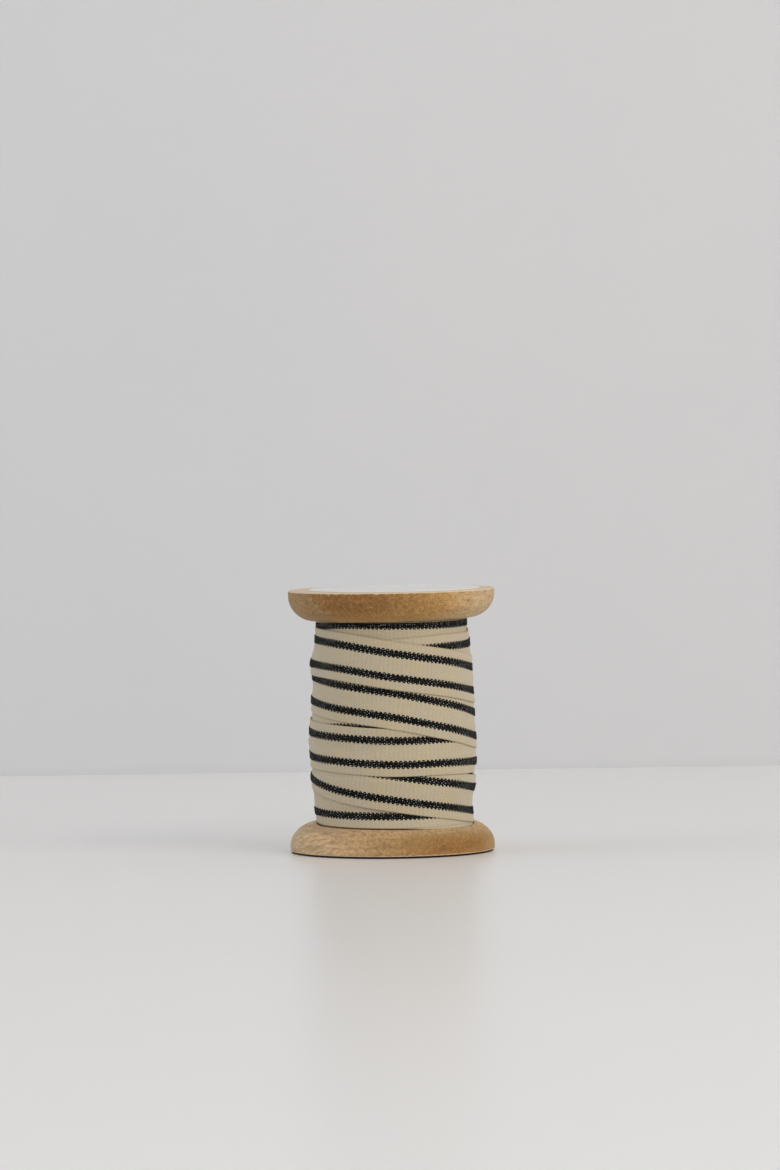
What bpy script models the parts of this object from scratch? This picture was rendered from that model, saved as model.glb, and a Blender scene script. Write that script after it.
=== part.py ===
"""A roll of ribbon on a turned wooden spool: two rounded end discs, the wound ribbon and a round paper.

The spool stands on its bottom disc. The origin is the middle of the floor face, +Z is up and -Y is the front.
"""

import math
from collections import namedtuple

import bmesh
import bpy
from mathutils import Vector

MM = 0.001
COLLECTION = "ribbon_on_spool"
PIECE_GAP = 0.3 * MM

# The spool
SPOOL_HEIGHT = 70.0 * MM
DISC_STEPS = 72
ROUND_SEGMENTS = 9
EDGE_SEGMENTS = 3

# Each end disc: a straight rim next to its outer face, then a quarter ellipse in to its inner face
Disc = namedtuple("Disc", "name radius thickness straight round_in edge_round x tilt_deg")
BOTTOM_DISC = Disc("bottom_flange", 27.35 * MM, 7.7 * MM, 1.8 * MM, 8.0 * MM, 0.6 * MM, -0.2 * MM, 0.0)
TOP_DISC = Disc("top_flange", 27.6 * MM, 7.8 * MM, 1.3 * MM, 8.0 * MM, 0.35 * MM, 0.25 * MM, -0.45)

# The round paper on the top face, set a little to the right of the disc's middle
LABEL_RADIUS = 22.9 * MM
LABEL_THICKNESS = 0.25 * MM
LABEL_SHIFT = 0.9 * MM

# The ribbon
RIBBON_WIDTH = 12.7 * MM
RIBBON_LAYER = 0.5 * MM
ROLL_X = 0.2 * MM
ROLL_COLUMNS = 96
BAND_FRACTIONS = (0.0, 0.35, 0.7, 1.0)
BAND_CROWN = 0.12 * MM

# The height of the middle of each turn's width, at the left, front, right and back of the roll, in mm.
# A turn starts at the back where the one before it ends. The lap turns run down to the right in front, and
# each one lies over the next. The under turns cross them the other way, and show next to the top disc.
Turn = namedtuple("Turn", "name left front right back")
LAP_START = 54.9
LAP_TURNS = (
    Turn("outermost", 54.4, 51.1, 46.5, 45.3),
    Turn("second", 44.0, 41.0, 35.0, 32.8),
    Turn("third", 29.3, 28.0, 27.1, 25.2),
    Turn("fourth", 22.6, 18.3, 14.3, 14.0),
    Turn("lowest", 14.0, 14.0, 14.0, 14.0),
)
UNDER_START = 45.0
UNDER_TURNS = (
    Turn("rising", 47.5, 52.2, 53.4, 57.0),
    Turn("topmost", 58.3, 58.4, 58.3, 58.6),
)
TURN_ANGLES = (-80.0, 0.0, 80.0, 180.0)

# The ribbon's cut end lies at the back, between these angles
END_ANGLES = (-180.0, -150.0)

# Radius under the outer layer at these heights, in mm
Girth = namedtuple("Girth", "height radius")
GIRTHS = (
    Girth(8.0, 20.7),
    Girth(14.0, 20.9),
    Girth(22.0, 21.3),
    Girth(30.0, 21.5),
    Girth(38.0, 21.1),
    Girth(46.0, 20.8),
    Girth(52.0, 20.6),
    Girth(57.0, 20.0),
    Girth(62.0, 19.6),
)

# How many ribbon layers deep each visible band of the roll lies at its upper and lower edge, in front
Band = namedtuple("Band", "name upper lower")
BANDS = (
    Band("topmost", 1.0, 1.0),
    Band("rising", 2.0, 2.0),
    Band("outermost", 2.6, 2.2),
    Band("second", 1.2, 2.0),
    Band("slit", 0.8, 0.8),
    Band("third", 1.2, 2.0),
    Band("fourth", 1.2, 2.0),
    Band("lowest", 1.2, 1.2),
)
SLIT_OPEN = 0.8 * MM

MATERIALS = {
    "beech": ((0.42, 0.25, 0.115, 1.0), 0.62),
    "ribbon": ((0.52, 0.43, 0.31, 1.0), 0.9),
    "paper": ((0.72, 0.71, 0.69, 1.0), 0.75),
}


def clear_scene():
    for ob in list(bpy.data.objects):
        bpy.data.objects.remove(ob)


def make_material(name):
    colour, roughness = MATERIALS[name]
    material = bpy.data.materials.new(name)
    material.use_nodes = True
    shader = material.node_tree.nodes["Principled BSDF"]
    shader.inputs["Base Color"].default_value = colour
    shader.inputs["Roughness"].default_value = roughness
    shader.inputs["Metallic"].default_value = 0.0
    material.diffuse_color = colour
    return material


def add_object(name, mesh, material, collection):
    ob = bpy.data.objects.new(name, mesh)
    ob.data.materials.append(material)
    collection.objects.link(ob)
    return ob


def blend(start, end, value):
    """0 before start, 1 after end, and a smooth step between them."""
    t = min(1.0, max(0.0, (value - start) / (end - start)))
    return t * t * (3.0 - 2.0 * t)


def curve_through(knots, at):
    """The height at a place along a smooth curve through (place, height) knots."""
    places = [knot[0] for knot in knots]
    heights = [knot[1] for knot in knots]
    last = len(knots) - 1
    i = 0
    while i < last - 1 and at > places[i + 1]:
        i += 1

    def slope(k):
        before, after = max(0, k - 1), min(last, k + 1)
        return (heights[after] - heights[before]) / (places[after] - places[before])

    span = places[i + 1] - places[i]
    t = min(1.0, max(0.0, (at - places[i]) / span))
    rest = 1.0 - t
    ends = (1.0 + 2.0 * t) * rest * rest * heights[i] + t * t * (3.0 - 2.0 * t) * heights[i + 1]
    return ends + span * t * rest * (rest * slope(i) - t * slope(i + 1))


def turn_knots(start, turns):
    """The knots of one layer, with the angle counted on from turn to turn."""
    knots = [(-180.0, start)]
    for number, turn in enumerate(turns):
        heights = (turn.left, turn.front, turn.right, turn.back)
        knots += [(360.0 * number + angle, height) for angle, height in zip(TURN_ANGLES, heights)]
    return knots


LAP_KNOTS = turn_knots(LAP_START, LAP_TURNS)
UNDER_KNOTS = turn_knots(UNDER_START, UNDER_TURNS)


def lap_middle(turn, angle):
    return curve_through(LAP_KNOTS, 360.0 * turn + angle) * MM


def under_middle(turn, angle):
    return curve_through(UNDER_KNOTS, 360.0 * turn + angle) * MM


def disc_profile(disc):
    """The half section of a disc from its outer face, at height 0, up to its inner face."""
    points = [(0.0, 0.0), (0.5 * disc.radius, 0.0)]
    for i in range(EDGE_SEGMENTS + 1):
        turn = 0.5 * math.pi * i / EDGE_SEGMENTS
        across = disc.radius - disc.edge_round * (1.0 - math.sin(turn))
        points.append((across, disc.edge_round * (1.0 - math.cos(turn))))
    rise = disc.thickness - disc.straight
    for i in range(ROUND_SEGMENTS + 1):
        turn = 0.5 * math.pi * i / ROUND_SEGMENTS
        across = disc.radius - disc.round_in * (1.0 - math.cos(turn))
        points.append((across, disc.straight + rise * math.sin(turn)))
    points.append((0.0, disc.thickness))
    return points


def turned_mesh(name, profile):
    """A half section in XZ, listed from top to bottom down its outer side."""
    mesh = bpy.data.meshes.new(name)
    edges = [(i, i + 1) for i in range(len(profile) - 1)]
    mesh.from_pydata([(x, 0.0, z) for x, z in profile], edges, [])
    return mesh


def add_screw(ob, steps):
    screw = ob.modifiers.new("turning", "SCREW")
    screw.steps = steps
    screw.render_steps = steps
    screw.use_merge_vertices = True
    screw.merge_threshold = 0.00001


def make_disc(disc, material, collection):
    profile = disc_profile(disc)
    if disc is TOP_DISC:
        profile = [(x, -z) for x, z in profile]
    else:
        profile = profile[::-1]
    ob = add_object(disc.name, turned_mesh(disc.name, profile), material, collection)
    add_screw(ob, DISC_STEPS)
    ob.location = (disc.x, 0.0, SPOOL_HEIGHT if disc is TOP_DISC else 0.0)
    ob.rotation_euler = (0.0, math.radians(disc.tilt_deg), 0.0)
    return ob


def make_label(top_disc, material, collection):
    """The paper lies on the top disc, so it takes the disc's tilt from it."""
    profile = [(0.0, LABEL_THICKNESS), (LABEL_RADIUS, LABEL_THICKNESS), (LABEL_RADIUS, 0.0), (0.0, 0.0)]
    ob = add_object("top_label", turned_mesh("top_label", profile), material, collection)
    add_screw(ob, DISC_STEPS)
    ob.parent = top_disc
    ob.location = (LABEL_SHIFT, 0.0, PIECE_GAP)
    return ob


def girth(height):
    knots = [(row.height, row.radius) for row in GIRTHS]
    return curve_through(knots, height / MM) * MM


def roll_edges(angle, top, bottom):
    """The heights that part the bands at one angle, from the top of the roll to its bottom."""
    half = 0.5 * RIBBON_WIDTH
    shown = blend(END_ANGLES[0], END_ANGLES[1], angle)
    covered = lap_middle(1, angle) + half
    outer_top = covered + shown * (lap_middle(0, angle) + half - covered)
    outer_low = covered + shown * (lap_middle(0, angle) - half - covered)
    rising_top = min(top, max(outer_top, under_middle(0, angle) + half))
    second_low = lap_middle(1, angle) - half
    slit_low = min(second_low, lap_middle(2, angle) + half)
    third_low = lap_middle(2, angle) - half
    fourth_low = max(bottom, lap_middle(3, angle) - half)
    return [top, rising_top, outer_top, outer_low, second_low, slit_low, third_low, fourth_low, bottom]


def band_depths(number, angle, slit):
    """How many layers deep a band lies at its upper and lower edge. At the back each band runs on into
    the next one, so the depths meet there."""
    band = BANDS[number]
    upper, lower = band.upper, band.lower
    shown = blend(END_ANGLES[0], END_ANGLES[1], angle)
    ending = blend(110.0, 180.0, angle)
    if band.name == "rising":
        upper = lower = band.upper + ending * (BANDS[0].upper - band.upper)
    if band.name == "outermost":
        amount = shown * (1.0 - ending)
        upper = 2.0 + amount * (band.upper - 2.0)
        lower = 2.0 + amount * (band.lower - 2.0)
    if band.name == "second":
        upper = 2.0 + shown * (band.upper - 2.0)
    if band.name == "slit":
        upper = lower = 1.2 + slit * (band.upper - 1.2)
    if band.name == "fourth":
        lower = band.lower + ending * (BANDS[-1].lower - band.lower)
    return upper, lower


def roll_column(angle):
    """The outline of the roll at one angle, as (radius, height) points from the top down."""
    x = ROLL_X + GIRTHS[-1].radius * MM * math.sin(math.radians(angle)) - TOP_DISC.x
    top = SPOOL_HEIGHT - TOP_DISC.thickness - PIECE_GAP - x * math.tan(math.radians(TOP_DISC.tilt_deg))
    bottom = BOTTOM_DISC.thickness + PIECE_GAP
    edges = roll_edges(angle, top, bottom)
    points = []
    for number, (high, low) in enumerate(zip(edges[:-1], edges[1:])):
        slit = min(1.0, (edges[4] - edges[5]) / SLIT_OPEN)
        upper, lower = band_depths(number, angle, slit)
        crown = BAND_CROWN * min(1.0, (high - low) / (3.0 * MM))
        for fraction in BAND_FRACTIONS:
            height = high + fraction * (low - high)
            depth = upper + fraction * (lower - upper)
            bulge = crown * 4.0 * fraction * (1.0 - fraction)
            points.append((girth(height) + depth * RIBBON_LAYER + bulge, height))
    return points


def make_roll(material, collection):
    """The wound ribbon: a loft between unlike sections, because the edges of its turns slant around it."""
    angles = [-180.0 + 360.0 * i / ROLL_COLUMNS for i in range(ROLL_COLUMNS + 1)]
    form = bmesh.new()
    columns = []
    for angle in angles:
        turn = math.radians(angle)
        columns.append(
            [form.verts.new((r * math.sin(turn), -r * math.cos(turn), z)) for r, z in roll_column(angle)]
        )
    for left, right in zip(columns[:-1], columns[1:]):
        for i in range(len(left) - 1):
            form.faces.new((left[i], left[i + 1], right[i + 1], right[i]))
    for end in (0, -1):
        rim = [column[end] for column in columns[:-1]]
        middle = sum((vert.co for vert in rim), Vector()) / len(rim)
        centre = form.verts.new((0.0, 0.0, middle.z))
        for left, right in zip(columns[:-1], columns[1:]):
            form.faces.new((centre, left[end], right[end]))
    bmesh.ops.remove_doubles(form, verts=form.verts, dist=0.000002)
    bmesh.ops.recalc_face_normals(form, faces=form.faces)
    mesh = bpy.data.meshes.new("ribbon_roll")
    form.to_mesh(mesh)
    form.free()
    ob = add_object("ribbon_roll", mesh, material, collection)
    ob.location = (ROLL_X, 0.0, 0.0)
    mesh.shade_smooth()
    mesh.set_sharp_from_angle(angle=math.radians(35.0))
    return ob


def main():
    clear_scene()
    collection = bpy.data.collections.new(COLLECTION)
    bpy.context.scene.collection.children.link(collection)
    beech = make_material("beech")
    make_disc(BOTTOM_DISC, beech, collection)
    top_disc = make_disc(TOP_DISC, beech, collection)
    make_roll(make_material("ribbon"), collection)
    make_label(top_disc, make_material("paper"), collection)


main()
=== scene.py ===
import math

import bmesh
import bpy
import numpy as np
from mathutils import Matrix, Vector


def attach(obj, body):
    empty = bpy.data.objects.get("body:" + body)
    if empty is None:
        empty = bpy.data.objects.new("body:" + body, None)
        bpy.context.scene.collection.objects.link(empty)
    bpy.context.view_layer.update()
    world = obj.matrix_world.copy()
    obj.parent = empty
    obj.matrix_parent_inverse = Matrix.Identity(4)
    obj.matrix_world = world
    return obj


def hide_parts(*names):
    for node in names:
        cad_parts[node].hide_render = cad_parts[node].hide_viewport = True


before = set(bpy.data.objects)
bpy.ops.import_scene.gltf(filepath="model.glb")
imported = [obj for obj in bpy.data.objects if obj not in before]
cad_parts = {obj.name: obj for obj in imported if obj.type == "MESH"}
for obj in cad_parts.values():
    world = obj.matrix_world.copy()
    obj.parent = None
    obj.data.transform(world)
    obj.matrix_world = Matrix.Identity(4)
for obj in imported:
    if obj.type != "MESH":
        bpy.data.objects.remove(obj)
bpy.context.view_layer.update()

mm = 0.001
print("frame loaded:", ", ".join(sorted(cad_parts)))


def linearColour(hexCode):
    # hex sRGB to the linear values that the shader sockets hold
    values = [int(hexCode[i:i + 2], 16) / 255 for i in (1, 3, 5)]
    return [v / 12.92 if v <= 0.04045 else ((v + 0.055) / 1.055) ** 2.4 for v in values] + [1.0]


def addNode(tree, kind, inputs=None, **settings):
    # one node: its settings by name, and its inputs by name or number, each a value or a socket to link
    node = tree.nodes.new(kind)
    for name, value in settings.items():
        setattr(node, name, value)
    for key, value in (inputs or {}).items():
        if isinstance(value, bpy.types.NodeSocket):
            tree.links.new(value, node.inputs[key])
        else:
            node.inputs[key].default_value = value
    return node


def newMaterial(name, **surface):
    # a material with its Principled shader's own sockets set
    material = bpy.data.materials.new(name)
    material.use_nodes = True
    shader = material.node_tree.nodes["Principled BSDF"]
    for socket, value in surface.items():
        shader.inputs[socket.replace("_", " ")].default_value = value
    return material, material.node_tree, shader


def newPiece(name, mesh, material):
    piece = bpy.data.objects.new(name, mesh)
    bpy.context.scene.collection.objects.link(piece)
    if material and not mesh.materials:
        mesh.materials.append(material)
    return piece


def softStep(low, high, value):
    t = np.clip((value - low) / (high - low), 0, 1)
    return t * t * (3 - 2 * t)


def softNoise(shape, cells, rng):
    # random values on a coarse grid, eased to the full one: from -1 to 1
    grid = rng.uniform(-1, 1, (cells[0] + 2, cells[1] + 2))
    result = grid
    for axis in (0, 1):
        place = np.linspace(0, cells[axis], shape[axis])
        start = np.floor(place).astype(int)
        part = softStep(0, 1, place - start)
        part = part[:, None] if axis == 0 else part[None, :]
        result = np.take(result, start, axis) * (1 - part) + np.take(result, start + 1, axis) * part
    return result


# Camera: a long lens a little above the spool, with a slight roll

cameraSet = {
    "x": 0.0,
    "distance": 1700 * mm,
    "height": 135.4 * mm,
    "pitchDown": 2.161,
    "roll": -0.756,
    "lens": 195.72,
    "sensor": 36,
    "nearest": 0.05,
    "farthest": 20,
}


def makeCamera(s):
    data = bpy.data.cameras.new("camera")
    data.lens = s["lens"]
    data.sensor_width = s["sensor"]
    data.clip_start = s["nearest"]
    data.clip_end = s["farthest"]
    camera = bpy.data.objects.new("camera", data)
    bpy.context.scene.collection.objects.link(camera)
    place = Matrix.Translation((s["x"], -s["distance"], s["height"]))
    aim = Matrix.Rotation(math.radians(90 - s["pitchDown"]), 4, "X")
    camera.matrix_world = place @ aim @ Matrix.Rotation(math.radians(s["roll"]), 4, "Z")
    bpy.context.scene.camera = camera


# Floor, wall and lights

stageSet = {
    "wallBehind": 321 * mm,
    "wallTurn": 0.7,           # degrees: the wall isn't quite square to the view
    "reach": 3.0,
    "wallHeight": 2.0,
    "floorColours": ("#efeeed", "#f2f1f0"),
    "floorClouds": 9.0,
    "floorRoughness": 0.3,
    "floorGloss": 0.8,
    "wallColours": ("#d1d1d3", "#d5d5d6"),
    "wallClouds": 14.0,
    "wallRoughness": 0.95,
    "footShadeHeight": 3 * mm,          # painted shade: the foot of the wall is a little darker up to this height
    "footShadeTone": 0.95,
}

lightAim = (0, 0, 0.03)
lightSet = {
    # name: (place, width, height, watts, colour)
    "rightWindow": ((1.2, -1.05, 0.8), 1.6, 1.5, 17.0, "#fffaf2"),
    "leftWindow": ((-1.5, -0.2, 0.6), 1.2, 1.2, 7.2, "#f4f8ff"),
    "front": ((0.2, -2.3, 1.3), 0.9, 0.7, 9.5, "#ffffff"),
}
worldColour = "#f3f4f6"
worldStrength = 0.41


def cloudedPaint(name, colours, cloudScale, **surface):
    # a coat of paint with faint clouds in it, and the nodes that the wall goes on from
    paint, tree, shader = newMaterial(name, **surface)
    spots = addNode(tree, "ShaderNodeTexCoord")
    clouds = addNode(
        tree, "ShaderNodeTexNoise", {"Vector": spots.outputs["Object"], "Scale": cloudScale, "Detail": 3.0}
    )
    low, high = colours
    tint = addNode(
        tree, "ShaderNodeMix",
        {0: clouds.outputs["Fac"], 6: linearColour(low), 7: linearColour(high)}, data_type="RGBA",
    )
    tree.links.new(tint.outputs[2], shader.inputs["Base Color"])
    return paint, tree, shader, spots, tint


def makeStage(s):
    # satin white paint on boards: a broad, blurred reflection of what stands on it
    floorPaint = cloudedPaint(
        "satinFloorPaint", s["floorColours"], s["floorClouds"],
        Roughness=s["floorRoughness"], Specular_IOR_Level=s["floorGloss"],
    )[0]
    # matt emulsion on the wall: no gloss, faintly clouded, with painted shade darkening its foot
    wallPaint, tree, shader, spots, tint = cloudedPaint(
        "mattWallPaint", s["wallColours"], s["wallClouds"], Roughness=s["wallRoughness"]
    )
    parts = addNode(tree, "ShaderNodeSeparateXYZ", {0: spots.outputs["Object"]})
    # painted shade at the foot of the wall, where it meets the floor
    foot = addNode(
        tree, "ShaderNodeMapRange",
        {"Value": parts.outputs["Z"], "From Max": s["footShadeHeight"], "To Min": s["footShadeTone"]},
    )
    toned = addNode(
        tree, "ShaderNodeMix",
        {0: 1.0, 6: tint.outputs[2], 7: foot.outputs[0]}, data_type="RGBA", blend_type="MULTIPLY",
    )
    tree.links.new(toned.outputs[2], shader.inputs["Base Color"])
    # from behind the wall isn't there, so that views from the back look past it
    side = addNode(tree, "ShaderNodeNewGeometry")
    clear = addNode(tree, "ShaderNodeBsdfTransparent")
    either = addNode(
        tree, "ShaderNodeMixShader",
        {0: side.outputs["Backfacing"], 1: shader.outputs["BSDF"], 2: clear.outputs["BSDF"]},
    )
    tree.links.new(either.outputs["Shader"], tree.nodes["Material Output"].inputs["Surface"])

    out, top = s["reach"], s["wallHeight"]
    lean = out * math.tan(math.radians(s["wallTurn"]))
    left, right = s["wallBehind"] - lean, s["wallBehind"] + lean
    verts = [
        (-out, -out, 0), (out, -out, 0), (out, right, 0), (-out, left, 0),
        (out, right, top), (-out, left, top),
    ]
    mesh = bpy.data.meshes.new("stage")
    mesh.from_pydata(verts, [], [(0, 1, 2, 3), (3, 2, 4, 5)])
    mesh.materials.append(floorPaint)
    mesh.materials.append(wallPaint)
    mesh.polygons[1].material_index = 1
    newPiece("stage", mesh, None)


def makeLights(lights):
    for name, (place, width, height, watts, colour) in lights.items():
        data = bpy.data.lights.new(name, "AREA")
        data.shape = "RECTANGLE"
        data.size = width
        data.size_y = height
        data.energy = watts
        data.color = linearColour(colour)[:3]
        lamp = bpy.data.objects.new(name, data)
        bpy.context.scene.collection.objects.link(lamp)
        facing = (Vector(place) - Vector(lightAim)).to_track_quat("Z", "Y")
        lamp.matrix_world = Matrix.Translation(place) @ facing.to_matrix().to_4x4()
    world = bpy.data.worlds.new("studio")
    world.use_nodes = True
    sky = world.node_tree.nodes["Background"]
    sky.inputs["Color"].default_value = linearColour(worldColour)
    sky.inputs["Strength"].default_value = worldStrength
    bpy.context.scene.world = world
    bpy.context.scene.view_settings.view_transform = "Standard"


makeCamera(cameraSet)
makeStage(stageSet)
makeLights(lightSet)
print("camera, stage and lights made")


# The ribbon: half-inch cotton tape, wound by hand in slanting turns.
# Angles go round the roll from -180 at the back, through -90 at the left and 0 in front, to 180.
# The heights are of the middle of the tape's width. The ribbon was wound right to left in front, so each
# table's last turn was laid first.

ribbonSet = {
    "width": 12.7,
    "thickness": 0.42,
    "rollX": 0.25,
    "turnAngles": (-85, -40, 0, 40, 85, 180),
    # the lowest that the edge of each layer reaches at these angles
    "floorAngles": (-60, -20, 8, 45),
    "underFloor": (7.7, 7.55, 7.0, 7.0),
    "lapFloor": (7.65, 7.6, 7.45, 7.95),
    # on the right in front the lowest edge of the under turns is pressed out over the wood
    "pressedAngles": (0, 30, 95, 115),
    "pressedHeights": (8.3, 7.5),
    "pressedOut": 0.55,
    # name: height of the tape's middle at those angles
    "underStart": 13.9,
    "underTurns": {
        "bottom": (13.9, 13.8, 13.75, 13.35, 13.4, 15.5),
        "low": (17.5, 19.5, 21.5, 23.0, 24.0, 30.5),
        "middle": (36.2, 37.45, 36.95, 37.6, 40.0, 44.5),
        "rising": (46.8, 49.5, 51.2, 52.15, 52.7, 56.6),
        "topmost": (57.3, 58.25, 58.1, 58.0, 58.2, 58.3),
    },
    "lapStart": 54.6,
    "lapTurns": {
        "outermost": (54.0, 53.0, 50.75, 48.5, 46.03, 45.0),
        "second": (44.08, 42.25, 40.22, 37.13, 33.9, 32.4),
        "third": (29.4, 28.45, 27.66, 27.68, 27.23, 25.2),
        "fourth": (23.4, 20.58, 18.27, 16.05, 13.95, 13.9),
        "lowest": (14.45, 14.05, 13.87, 14.0, 14.2, 14.0),
    },
    # the wound body under these turns: its radius on the left and on the right at each height
    "bodyHeights": (7.4, 11, 14, 19, 24, 30, 36, 42, 47, 53, 58, 62.5),
    "bodyLeft": (19.6, 19.6, 19.95, 20.0, 20.9, 21.35, 21.2, 20.1, 20.4, 20.0, 19.4, 19.8),
    "bodyRight": (19.5, 19.4, 19.65, 20.0, 21.3, 20.8, 21.0, 20.7, 20.4, 20.15, 19.7, 19.6),
    # its mesh, which stays a little inside the turns
    "bodyColumns": 72,
    "bodyRows": 40,
    "bodyTop": 62.0,
    "bodyInset": 0.05,
    # at its foot the roll spreads outwards by so much at each of these angles
    "flareAngles": (-180, -90, -45, 0, 50, 100, 180),
    "flare": (0.3, 0.3, 1.1, 1.6, 1.6, 0.6, 0.3),
    "flareBelow": 10.6,
    "footHeights": (7.8, 9.0),
    "meanRadius": 22.0,
    "floorOfRoll": 7.4,
    # the grid on which the roll grows
    "columnsPerTurn": 720,
    "across": 65,
    "heightStep": 0.1,
    "margin": 1,
    "highest": 68,
    # how the tape settles: rounds of easing over what lies under it, and what each takes from its neighbours
    "settle": 160,
    "easeAlong": 0.33,
    "easeAcross": 0.17,
    "joinColumns": 40,         # each turn runs on into the one laid before it over so many columns
    "unevenness": 0.05,
    "unevenLength": 7,
    "unevenAcross": 4,
    "edgeWave": 0.05,
    "edgeWaveLength": 6,
    "edgeWaveFrom": 0.7,
    "seed": 11,
    "tuckBend": 0.6,
    "tuckGap": 0.02,
}


def curveThrough(places, heights, at):
    # a smooth curve through the knots
    places, heights = np.array(places, float), np.array(heights, float)
    slopes = np.empty_like(heights)
    slopes[1:-1] = (heights[2:] - heights[:-2]) / (places[2:] - places[:-2])
    slopes[0] = (heights[1] - heights[0]) / (places[1] - places[0])
    slopes[-1] = (heights[-1] - heights[-2]) / (places[-1] - places[-2])
    i = np.clip(np.searchsorted(places, at, side="right") - 1, 0, len(places) - 2)
    span = places[i + 1] - places[i]
    t = np.clip((at - places[i]) / span, 0, 1)
    rest = 1 - t
    ends = (1 + 2 * t) * rest ** 2 * heights[i] + t ** 2 * (3 - 2 * t) * heights[i + 1]
    return ends + span * t * rest * (rest * slopes[i] - t * slopes[i + 1])


# The sizes of the two wooden discs, which the ribbon needs too: it is tucked in under the top one

topDiscSet = {
    "radius": 27.6,
    "thickness": 7.95,
    "straight": 1.3,
    "roundIn": 6.8,
    "edgeRound": 0.3,
    "gapHeight": 0.0,
    "gapDepth": 0.0,
    "x": 0.25,
    "outerFace": 70.2,
    "tilt": -0.27,
    "upsideDown": True,
    "wedge": 0.001,            # it is thicker on the left, by this share for each mm
    "sink": 0.0,
}
bottomDiscSet = {
    "radius": 27.35,
    "thickness": 8.25,
    "straight": 1.8,
    "roundIn": 8.0,
    "edgeRound": 0.3,
    "gapHeight": 0.5,          # the wood is turned away under the rim, and painted shade darkens the hollow: a dark line at the floor
    "gapDepth": 0.4,
    "x": -0.2,
    "outerFace": 0.0,
    "tilt": 0.0,
    "upsideDown": False,
    "wedge": 0.0,
    "sink": 0.6,               # in front the shoulder is turned lower by this much near the roll
}


def underTopDisc(x):
    # the height of the top disc's lower face at a place along x, in mm
    s = topDiscSet
    out = x - s["x"]
    return s["outerFace"] - s["thickness"] * (1 - s["wedge"] * out) - out * math.tan(math.radians(s["tilt"]))


class Roll:
    # the surface of the roll as it grows: a radius for each angle and height
    def __init__(self, s):
        self.s = s
        self.rng = np.random.default_rng(s["seed"])
        self.count = s["columnsPerTurn"]
        self.angles = -180 + 360 * np.arange(self.count) / self.count
        self.low = s["floorOfRoll"] - s["margin"]
        self.heights = np.arange(self.low, s["highest"], s["heightStep"])
        left = curveThrough(s["bodyHeights"], s["bodyLeft"], self.heights)
        right = curveThrough(s["bodyHeights"], s["bodyRight"], self.heights)
        side = np.sin(np.radians(self.angles))[:, None]
        self.body = 0.5 * (left + right)[None, :] + 0.5 * side * (right - left)[None, :]
        flare = curveThrough(s["flareAngles"], s["flare"], self.angles)[:, None]
        self.body += flare * softStep(s["flareBelow"], s["floorOfRoll"], self.heights)[None, :]
        self.surface = self.body.copy()

    def radiusAt(self, rows, heights):
        place = np.clip((heights - self.low) / self.s["heightStep"], 0, len(self.heights) - 1.001)
        start = np.floor(place).astype(int)
        part = place - start
        return self.surface[rows, start] * (1 - part) + self.surface[rows, start + 1] * part

    def lay(self, start, turns, edgeFloor):
        # winds one layer on, its last turn first, and returns it as a grid of places
        s = self.s
        angles, heights = [-180.0], [start]
        for number, row in enumerate(turns.values()):
            angles += [360.0 * number + a for a in s["turnAngles"]]
            heights += list(row)
        total = self.count * len(turns)
        along = -180 + 360 * np.arange(total + 1) / self.count
        middle = curveThrough(angles, heights, along)
        step = math.radians(360 / self.count) * s["meanRadius"]
        lengths = np.concatenate([[0], np.cumsum(np.hypot(step, np.diff(middle)))])
        tilt = np.arctan(np.gradient(middle, step))
        across = np.linspace(-1, 1, s["across"])
        offset = across[None, :] * (0.5 * s["width"] / np.cos(tilt))[:, None]
        waves = softNoise((total + 1, 2), (int(lengths[-1] / s["edgeWaveLength"]), 1), self.rng)
        edgeUp = softStep(s["edgeWaveFrom"], 1, across)[None, :] * waves[:, :1]
        edgeLow = softStep(s["edgeWaveFrom"], 1, -across)[None, :] * waves[:, 1:]
        height = middle[:, None] + offset + s["edgeWave"] * (edgeUp + edgeLow)
        frontAngle = (along + 180) % 360 - 180
        height = np.maximum(height, np.interp(frontAngle, s["floorAngles"], edgeFloor)[:, None])
        unevenCells = (int(lengths[-1] / s["unevenLength"]), s["unevenAcross"])
        uneven = softNoise(height.shape, unevenCells, self.rng)
        inner = np.zeros_like(height)
        for turn in reversed(range(len(turns))):
            first = self.count * turn
            columns = np.arange(first, first + self.count + 1)
            rows = columns % self.count
            under = self.radiusAt(rows[:, None], height[columns])
            known = inner[columns[-1]] if turn < len(turns) - 1 else None
            laid = self.settle(under, known)
            laid = laid + s["unevenness"] * 0.5 * (1 + uneven[columns])
            if known is not None:
                ease = softStep(0, s["joinColumns"], np.arange(self.count, -1, -1))[:, None]
                laid = known[None, :] * (1 - ease) + laid * ease
                laid = np.maximum(laid, under)
                laid[-1] = known
            inner[columns] = laid
            for column, row in zip(columns[:-1], rows[:-1]):
                a, b = np.searchsorted(self.heights, (height[column, 0], height[column, -1]))
                covered = np.interp(self.heights[a:b], height[column], inner[column] + s["thickness"])
                self.surface[row, a:b] = np.maximum(self.surface[row, a:b], covered)
        return {
            "along": along, "frontAngle": frontAngle, "middle": middle, "tilt": tilt, "lengths": lengths,
            "across": across, "height": height, "inner": inner, "offset": height - middle[:, None],
        }

    def settle(self, under, known):
        # the tape lies over every ridge under it and is pulled taut between them
        s = self.s
        pulled = under.copy()
        for shift in (1, 2, 4):
            grown = pulled.copy()
            grown[shift:] = np.maximum(grown[shift:], pulled[:-shift])
            grown[:-shift] = np.maximum(grown[:-shift], pulled[shift:])
            pulled = grown
        for number in range(s["settle"]):
            if known is not None:
                pulled[-1] = known
            wide = np.pad(pulled, 1, mode="edge")
            alongIt = wide[:-2, 1:-1] + wide[2:, 1:-1]
            acrossIt = wide[1:-1, :-2] + wide[1:-1, 2:]
            pulled = np.maximum(under, s["easeAlong"] * alongIt + s["easeAcross"] * acrossIt)
        return pulled


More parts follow.
